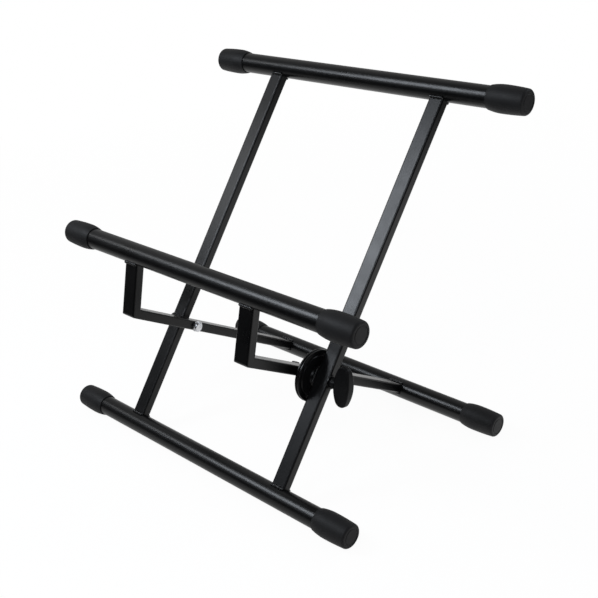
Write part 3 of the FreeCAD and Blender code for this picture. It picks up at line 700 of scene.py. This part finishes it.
def make_floor():
    """A white floor that keeps the stand's shadow close by and fades to plain white far out.

    In reflections it is white behind the stand and dims towards the dark room in front and far behind.
    """
    mesh = bpy.data.meshes.new("floor")
    corners = [(x * FLOOR_REACH, y * FLOOR_REACH, 0) for x, y in ((-1, -1), (1, -1), (1, 1), (-1, 1))]
    mesh.from_pydata(corners, [], [(0, 1, 2, 3)])
    floor = bpy.data.objects.new("floor", mesh)
    floor.location.z = cad_low.z
    bpy.context.scene.collection.objects.link(floor)
    paint = bpy.data.materials.new("floor_white")
    paint.use_nodes = True
    tree = paint.node_tree
    shader = tree.nodes["Principled BSDF"]
    set_inputs(shader, Base_Color=(0.9, 0.9, 0.9, 1.0), Roughness=0.9, Specular_IOR_Level=0.1)
    glow = add_node(tree, "ShaderNodeEmission")
    place = add_node(tree, "ShaderNodeTexCoord")
    distance = add_node(tree, "ShaderNodeVectorMath", operation="LENGTH")
    split = add_node(tree, "ShaderNodeSeparateXYZ")
    tree.links.new(place.outputs["Object"], distance.inputs[0])
    tree.links.new(place.outputs["Object"], split.inputs[0])
    plain, mirrored = seen_plainly(tree)
    strength = add_node(tree, "ShaderNodeMix", data_type="FLOAT")
    set_inputs(strength, A=1.0)
    tree.links.new(mirrored, input_named(strength, "Factor"))
    level = add_node(tree, "ShaderNodeMath", operation="MINIMUM")
    tree.links.new(faded(tree, split.outputs["Y"], FLOOR_FRONT_FADE, FRONT_GLOOM, 1.0), level.inputs[0])
    tree.links.new(faded(tree, split.outputs["Y"], FLOOR_REAR_FADE, 1.0, REAR_GLOOM), level.inputs[1])
    tree.links.new(level.outputs[0], input_named(strength, "B"))
    tree.links.new(strength.outputs["Result"], glow.inputs["Strength"])
    near = add_node(tree, "ShaderNodeMath", operation="MULTIPLY")
    glow_share = faded(tree, distance.outputs["Value"], FLOOR_SHADOW_FADE, FLOOR_GLOW_NEAR, 1.0)
    tree.links.new(glow_share, near.inputs[0])
    tree.links.new(plain, near.inputs[1])
    share = add_node(tree, "ShaderNodeMath", operation="MAXIMUM")
    tree.links.new(near.outputs[0], share.inputs[0])
    tree.links.new(mirrored, share.inputs[1])
    mix = add_node(tree, "ShaderNodeMixShader")
    tree.links.new(share.outputs[0], mix.inputs["Fac"])
    tree.links.new(shader.outputs[0], mix.inputs[1])
    tree.links.new(glow.outputs[0], mix.inputs[2])
    tree.links.new(mix.outputs[0], tree.nodes["Material Output"].inputs["Surface"])
    mesh.materials.append(paint)


def make_world():
    """Soft even light, and a white sweep behind the stand that fades into a dim room before it."""
    world = bpy.data.worlds.new("studio")
    world.use_nodes = True
    bpy.context.scene.world = world
    tree = world.node_tree
    ambient = tree.nodes["Background"]
    set_inputs(ambient, Color=(*WHITE, 1.0), Strength=AMBIENT)
    white = add_node(tree, "ShaderNodeBackground")
    set_inputs(white, Color=(*WHITE, 1.0))
    sweep = add_node(tree, "ShaderNodeBackground")
    set_inputs(sweep, Color=(*WHITE, 1.0))
    look = add_node(tree, "ShaderNodeTexCoord")
    facing = add_node(tree, "ShaderNodeVectorMath", operation="DOT_PRODUCT")
    facing.inputs[1].default_value = SWEEP_WAY
    plain, mirrored = seen_plainly(tree)
    mirror_mix = add_node(tree, "ShaderNodeMixShader")
    plain_mix = add_node(tree, "ShaderNodeMixShader")
    tree.links.new(look.outputs["Generated"], facing.inputs[0])
    level = faded(tree, facing.outputs["Value"], SWEEP_FADE, FRONT_GLOOM, SWEEP_LEVEL)
    tree.links.new(level, sweep.inputs["Strength"])
    tree.links.new(mirrored, mirror_mix.inputs["Fac"])
    tree.links.new(ambient.outputs[0], mirror_mix.inputs[1])
    tree.links.new(sweep.outputs[0], mirror_mix.inputs[2])
    tree.links.new(plain, plain_mix.inputs["Fac"])
    tree.links.new(mirror_mix.outputs[0], plain_mix.inputs[1])
    tree.links.new(white.outputs[0], plain_mix.inputs[2])
    tree.links.new(plain_mix.outputs[0], tree.nodes["World Output"].inputs["Surface"])


def softbox(name, place, aim, width, height, power, colour):
    """A rectangular lamp at a place, turned to face its aim."""
    data = bpy.data.lights.new(name, "AREA")
    data.shape = "RECTANGLE"
    data.size = width
    data.size_y = height
    data.energy = power
    data.color = colour
    lamp = bpy.data.objects.new(name, data)
    lamp.location = place
    lamp.rotation_mode = "QUATERNION"
    lamp.rotation_quaternion = (Vector(aim) - Vector(place)).to_track_quat("-Z", "Y")
    bpy.context.scene.collection.objects.link(lamp)


def make_camera():
    """The photograph's camera: place, aim with roll, lens, and the frame's offset from the optical centre."""
    azimuth = math.radians(CAMERA_AZIMUTH)
    elevation = math.radians(CAMERA_ELEVATION)
    roll = math.radians(CAMERA_ROLL)
    level = math.cos(elevation)
    forward = Vector((-math.sin(azimuth) * level, math.cos(azimuth) * level, -math.sin(elevation)))
    level_right = Vector((math.cos(azimuth), math.sin(azimuth), 0.0))
    level_up = level_right.cross(forward)
    right = level_right * math.cos(roll) + level_up * math.sin(roll)
    up = right.cross(forward)
    data = bpy.data.cameras.new("camera")
    data.sensor_width = SENSOR_WIDTH
    data.lens = FOCAL_PIXELS / IMAGE_SIDE * SENSOR_WIDTH
    data.shift_x = 0.5 - OPTICAL_CENTRE[0] / IMAGE_SIDE
    data.shift_y = OPTICAL_CENTRE[1] / IMAGE_SIDE - 0.5
    camera = bpy.data.objects.new("camera", data)
    turn = Matrix((right, up, -forward)).transposed()
    camera.matrix_world = Matrix.Translation(CAMERA_PLACE) @ turn.to_4x4()
    bpy.context.scene.collection.objects.link(camera)
    bpy.context.scene.camera = camera


make_floor()
make_world()
softbox("key_softbox", place=(-0.87, -0.87, 1.35), aim=(0.129, 0.07, 0.26), width=0.42, height=0.7,
        power=12.5, colour=DAYLIGHT)
softbox("side_softbox", place=(-1.41, -0.68, 1.28), aim=(-0.129, 0.09, 0.284), width=0.3, height=0.3,
        power=1.2, colour=WHITE)
softbox("front_softbox", place=(0.08, -1.2, 1.5), aim=(0.1, 0.05, 0.23), width=0.6, height=0.6,
        power=5.8, colour=DAYLIGHT)
softbox("low_softbox", place=(-0.75, -1.1, 0.75), aim=(0.129, -0.1, 0.06), width=0.35, height=0.4,
        power=0.3, colour=DAYLIGHT)
softbox("right_softbox", place=(0.95, -0.85, 1.25), aim=(0.1, 0.0, 0.2), width=0.6, height=0.6,
        power=4.0, colour=DAYLIGHT)
softbox("rear_softbox", place=(0.9, 1.4, 1.1), aim=(0.0, 0.05, 0.2), width=0.8, height=0.8,
        power=6.0, colour=DAYLIGHT)
make_camera()
bpy.context.scene.view_settings.view_transform = "Standard"
